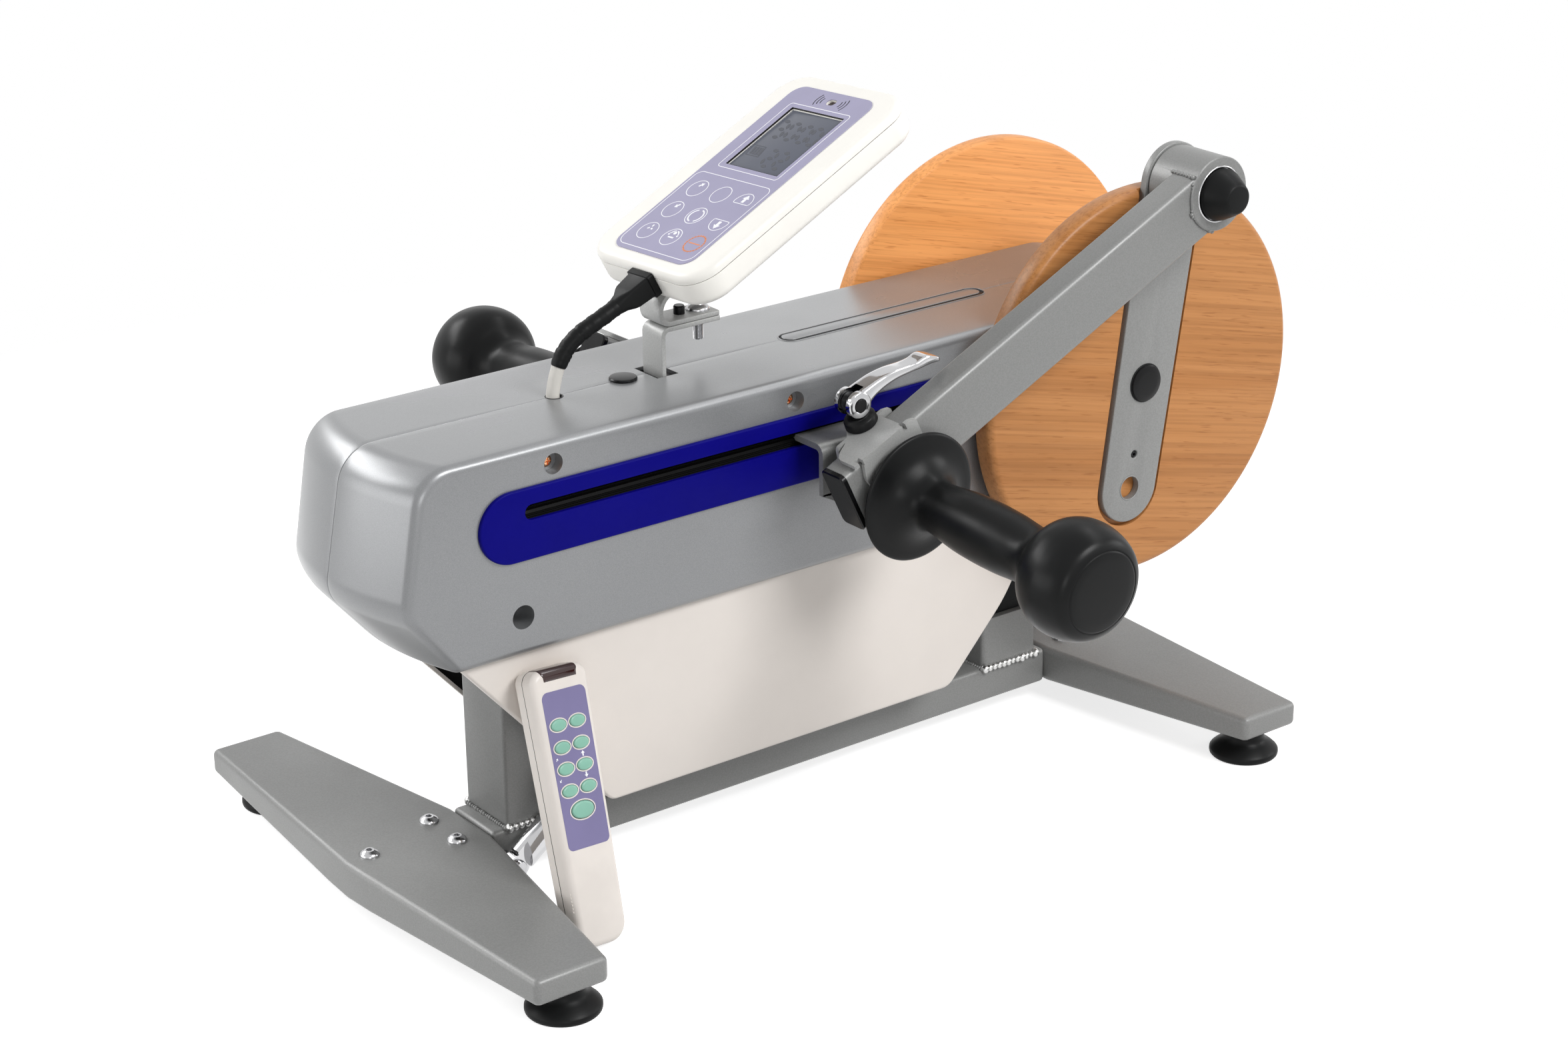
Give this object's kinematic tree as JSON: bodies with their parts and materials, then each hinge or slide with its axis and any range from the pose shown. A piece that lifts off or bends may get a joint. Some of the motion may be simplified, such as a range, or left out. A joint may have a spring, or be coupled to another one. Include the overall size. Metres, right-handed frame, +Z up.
{
  "type": "hand therapy machine",
  "caption": "Motorized floor-standing hand and arm trainer: tilting drive unit, wooden crank discs, linked arms with padded grips, console and hand remote.",
  "frame": {"origin": "on the floor under the middle of the machine's box", "axes": "+X from the user's end to the crank discs, +Z up, -Y the near side"},
  "size_m": [0.794, 0.6844, 0.5242],
  "materials": {
    "grey_paint": "grey hammered powder coat, satin",
    "silver_paint": "silver metallic paint on a moulded shell, satin",
    "blue_plastic": "deep blue plastic, satin",
    "cream_plastic": "cream white moulded plastic, fine grain",
    "black_rubber": "black rubber, matt",
    "black_foam": "black moulded grip, matt",
    "black_plastic": "black plastic, satin",
    "beech": "clear lacquered beech",
    "chrome": "bright chrome plating",
    "steel": "turned steel",
    "dark_steel": "black painted steel",
    "motor_alloy": "cast alloy motor and gear housing",
    "circuit_board": "green circuit board with black parts",
    "lcd": "grey liquid crystal window",
    "overlay": "printed lavender film",
    "key_green": "translucent green rubber"
  },
  "bodies": {
    "base": {"front_foot": "grey_paint", "rear_foot": "grey_paint", "base_rail": "grey_paint", "front_post": "grey_paint", "pad_front_near": "black_rubber", "pad_front_far": "black_rubber", "pad_rear_near": "black_rubber", "pad_rear_far": "black_rubber", "tilt_pin": "steel", "rest_pad": "black_rubber"},
    "actuator_rod": {"actuator_rod": "chrome"},
    "actuator_tube": {"actuator_tube": "dark_steel"},
    "drive_unit": {"chassis": "dark_steel", "casing_near": "silver_paint", "casing_far": "silver_paint", "trim_near": "blue_plastic", "trim_far": "blue_plastic", "skirt_near": "cream_plastic", "skirt_far": "cream_plastic", "gearmotor": "motor_alloy", "drive_belt": "black_rubber", "control_board": "circuit_board", "console_strap": "grey_paint", "console_bracket": "grey_paint", "console_back": "cream_plastic", "console_front": "cream_plastic", "console_display": "lcd", "console_overlay": "overlay", "console_lead": "black_rubber"},
    "crank": {"crank_shaft": "steel", "disc_near": "beech", "disc_far": "beech", "crank_plate_near": "grey_paint", "crank_plate_far": "grey_paint"},
    "motor_pulley": {"motor_pulley": "steel"},
    "slider_near": {"slider_near": "grey_paint"},
    "sleeve_near": {"sleeve_near": "grey_paint"},
    "arm_near": {"arm_near": "grey_paint", "arm_plug_near": "black_plastic", "crank_pin_near": "black_plastic"},
    "grip_near": {"grip_near": "black_foam"},
    "lever_near": {"lever_near": "chrome"},
    "slider_far": {"slider_far": "grey_paint"},
    "sleeve_far": {"sleeve_far": "grey_paint"},
    "arm_far": {"arm_far": "grey_paint", "arm_plug_far": "black_plastic", "crank_pin_far": "black_plastic"},
    "grip_far": {"grip_far": "black_foam"},
    "lever_far": {"lever_far": "chrome"},
    "remote": {"remote_case": "cream_plastic"},
    "key_p": {"key_p": "key_green"},
    "key_scan": {"key_scan": "key_green"},
    "key_raise": {"key_raise": "key_green"},
    "key_fast": {"key_fast": "key_green"},
    "key_lower": {"key_lower": "key_green"},
    "key_slow": {"key_slow": "key_green"},
    "key_active": {"key_active": "key_green"},
    "key_passive": {"key_passive": "key_green"},
    "key_start": {"key_start": "key_green"}
  },
  "joints": [
    {"name": "incline", "type": "hinge", "parent": "base", "child": "drive_unit", "pos_m": [-0.29, 0, 0.223], "axis": [0, -1, 0], "range_deg": [0, 8]},
    {"name": "actuator_tilt", "type": "hinge", "parent": "base", "child": "actuator_rod", "pos_m": [-0.286, -0.042, 0.024], "axis": [0, -1, 0], "range_deg": [0, 4]},
    {"name": "actuator_stroke", "type": "slide", "parent": "actuator_rod", "child": "actuator_tube", "axis": [0.7986, 0, 0.6018], "range_m": [0, 0.022]},
    {"name": "crank_spin", "type": "hinge", "parent": "drive_unit", "child": "crank", "pos_m": [0.247, 0, 0.277], "axis": [0, 1, 0], "continuous": true},
    {"name": "motor_pulley_spin", "type": "hinge", "parent": "drive_unit", "child": "motor_pulley", "pos_m": [0.077, 0, 0.247], "axis": [0, 1, 0], "continuous": true},
    {"name": "slider_travel_near", "type": "slide", "parent": "drive_unit", "child": "slider_near", "axis": [1, 0, 0], "range_m": [-0.2196, 0.0864]},
    {"name": "arm_pivot_near", "type": "hinge", "parent": "slider_near", "child": "sleeve_near", "pos_m": [-0.01535, -0.1, 0.266], "axis": [0, -1, 0], "range_deg": [-55.2, 0.3]},
    {"name": "arm_reach_near", "type": "slide", "parent": "sleeve_near", "child": "arm_near", "axis": [-0.9025, 0, -0.4307], "range_m": [-0.025, 0.025]},
    {"name": "grip_spin_near", "type": "hinge", "parent": "sleeve_near", "child": "grip_near", "pos_m": [-0.01535, -0.147, 0.266], "axis": [0, -0.9985, -0.0541], "continuous": true},
    {"name": "lever_near_open", "type": "hinge", "parent": "sleeve_near", "child": "lever_near", "pos_m": [-0.04258, -0.1135, 0.33002], "axis": [0, -1, 0], "range_deg": [0, 100]},
    {"name": "slider_travel_far", "type": "slide", "parent": "drive_unit", "child": "slider_far", "axis": [1, 0, 0], "range_m": [-0.1604, 0.1456]},
    {"name": "arm_pivot_far", "type": "hinge", "parent": "slider_far", "child": "sleeve_far", "pos_m": [-0.07461, 0.1, 0.266], "axis": [0, -1, 0], "range_deg": [-0.4, 55.1]},
    {"name": "arm_reach_far", "type": "slide", "parent": "sleeve_far", "child": "arm_far", "axis": [-0.8728, 0, 0.4881], "range_m": [-0.025, 0.025]},
    {"name": "grip_spin_far", "type": "hinge", "parent": "sleeve_far", "child": "grip_far", "pos_m": [-0.07461, 0.147, 0.266], "axis": [0, 0.9985, -0.0541], "continuous": true},
    {"name": "lever_far_open", "type": "hinge", "parent": "sleeve_far", "child": "lever_far", "pos_m": [-0.03807, 0.1135, 0.3252], "axis": [0, -1, 0], "range_deg": [0, 100]},
    {"name": "remote_lift", "type": "slide", "parent": "base", "child": "remote", "axis": [0, -1, 0], "range_m": [0, 0.15]},
    {"name": "press_p", "type": "slide", "parent": "remote", "child": "key_p", "axis": [-0.1172, 0.9411, -0.3173], "range_m": [0, 0.001], "stiffness_N_per_m": 400},
    {"name": "press_scan", "type": "slide", "parent": "remote", "child": "key_scan", "axis": [-0.1172, 0.9411, -0.3173], "range_m": [0, 0.001], "stiffness_N_per_m": 400},
    {"name": "press_raise", "type": "slide", "parent": "remote", "child": "key_raise", "axis": [-0.1172, 0.9411, -0.3173], "range_m": [0, 0.001], "stiffness_N_per_m": 400},
    {"name": "press_fast", "type": "slide", "parent": "remote", "child": "key_fast", "axis": [-0.1172, 0.9411, -0.3173], "range_m": [0, 0.001], "stiffness_N_per_m": 400},
    {"name": "press_lower", "type": "slide", "parent": "remote", "child": "key_lower", "axis": [-0.1172, 0.9411, -0.3173], "range_m": [0, 0.001], "stiffness_N_per_m": 400},
    {"name": "press_slow", "type": "slide", "parent": "remote", "child": "key_slow", "axis": [-0.1172, 0.9411, -0.3173], "range_m": [0, 0.001], "stiffness_N_per_m": 400},
    {"name": "press_active", "type": "slide", "parent": "remote", "child": "key_active", "axis": [-0.1172, 0.9411, -0.3173], "range_m": [0, 0.001], "stiffness_N_per_m": 400},
    {"name": "press_passive", "type": "slide", "parent": "remote", "child": "key_passive", "axis": [-0.1172, 0.9411, -0.3173], "range_m": [0, 0.001], "stiffness_N_per_m": 400},
    {"name": "press_start", "type": "slide", "parent": "remote", "child": "key_start", "axis": [-0.1172, 0.9411, -0.3173], "range_m": [0, 0.001], "stiffness_N_per_m": 400}
  ],
  "couplings": [
    {"joint": "motor_pulley_spin", "follows": "crank_spin", "ratio": 2.75}
  ]
}
